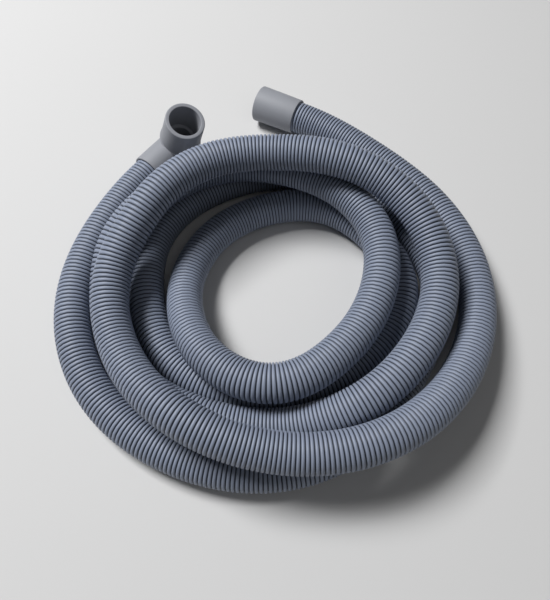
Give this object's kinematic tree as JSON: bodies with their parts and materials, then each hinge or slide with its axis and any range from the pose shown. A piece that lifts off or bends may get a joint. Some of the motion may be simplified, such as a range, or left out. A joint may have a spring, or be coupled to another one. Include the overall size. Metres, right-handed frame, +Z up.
{
  "type": "washing machine drain hose",
  "caption": "Coiled corrugated plastic drain hose with a straight push-on cuff at one end and a right-angle elbow cuff at the other, for emptying a washing machine.",
  "frame": {"origin": "middle of the underside of the coiled hose's box, on the surface the hose lies on", "axes": "+Z up; -Y towards the viewer of the picture; +X to the viewer's right, so the straight cuff points to -X and the elbow cuff stands at the far left"},
  "size_m": [0.31, 0.3338, 0.0772],
  "materials": {
    "hose_plastic": "satin",
    "cuff_plastic": "matt"
  },
  "bodies": {
    "root": {"corrugated_hose": "hose_plastic", "elbow_cuff": "cuff_plastic", "straight_cuff": "cuff_plastic"}
  },
  "joints": []
}
